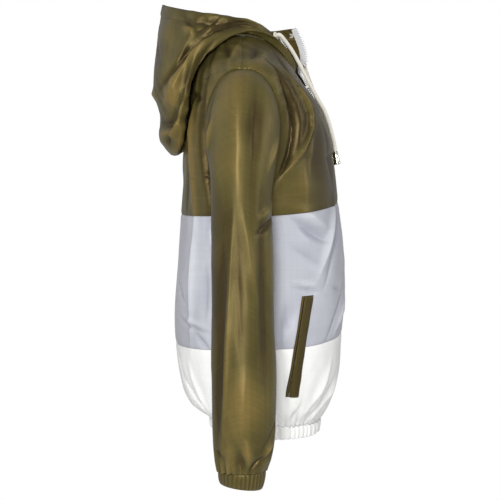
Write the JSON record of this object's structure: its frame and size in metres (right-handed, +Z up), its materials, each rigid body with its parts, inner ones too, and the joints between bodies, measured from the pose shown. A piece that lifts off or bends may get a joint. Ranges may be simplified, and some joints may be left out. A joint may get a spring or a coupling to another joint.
{
  "type": "windbreaker jacket",
  "caption": "Hooded colour-block windbreaker with a front zip, welt pockets, elastic cuffs and hem and a drawcord, filled out as worn with the hood down.",
  "frame": {"origin": "middle of the neck opening, level with the inner ends of the shoulder seams, where the jacket hangs on its wearer", "axes": "+Z up, the wearer faces -Y, the wearer's left side is at +X"},
  "size_m": [0.519, 0.2709, 0.636],
  "materials": {
    "olive_taffeta": "two-tone olive nylon taffeta, golden brown where it turns away",
    "olive_shade": "the same olive cloth inside the pocket mouth",
    "grey_satin": "silver-lilac grey satin",
    "white_taffeta": "white nylon taffeta",
    "zip_tape_white": "white woven zip tape",
    "zip_plastic_white": "white moulded plastic",
    "eyelet_ivory": "ivory painted eyelet",
    "cord_ivory": "ivory tubular knitted cord",
    "cord_end_metal": "polished metal"
  },
  "bodies": {
    "jacket": {"front_upper_right": "olive_taffeta", "front_upper_left": "olive_taffeta", "back_upper": "olive_taffeta", "sleeve_right": "olive_taffeta", "sleeve_left": "olive_taffeta", "cuff_right": "olive_taffeta", "cuff_left": "olive_taffeta", "hood_right": "olive_taffeta", "hood_left": "olive_taffeta", "pocket_welt_right": "olive_taffeta", "pocket_welt_left": "olive_taffeta", "pocket_facing_right": "olive_shade", "pocket_facing_left": "olive_shade", "front_middle_right": "grey_satin", "front_middle_left": "grey_satin", "back_middle": "grey_satin", "front_lower_right": "white_taffeta", "front_lower_left": "white_taffeta", "back_lower": "white_taffeta", "hem_band": "white_taffeta", "zip_tape_right": "zip_tape_white", "zip_tape_left": "zip_tape_white", "zip_chain_right": "zip_plastic_white", "zip_chain_left": "zip_plastic_white", "zip_box": "zip_plastic_white", "zip_slider": "zip_plastic_white", "eyelet_right": "eyelet_ivory", "eyelet_left": "eyelet_ivory", "drawcord_right": "cord_ivory", "drawcord_left": "cord_ivory", "cord_end_right": "cord_end_metal", "cord_end_left": "cord_end_metal"},
    "zip_pull": {"zip_pull": "zip_plastic_white"}
  },
  "joints": [
    {"name": "zip_pull_hinge", "type": "hinge", "parent": "jacket", "child": "zip_pull", "pos_m": [0, -0.09607, -0.06816], "axis": [-1, 0, 0], "range_deg": [0, 150]}
  ]
}
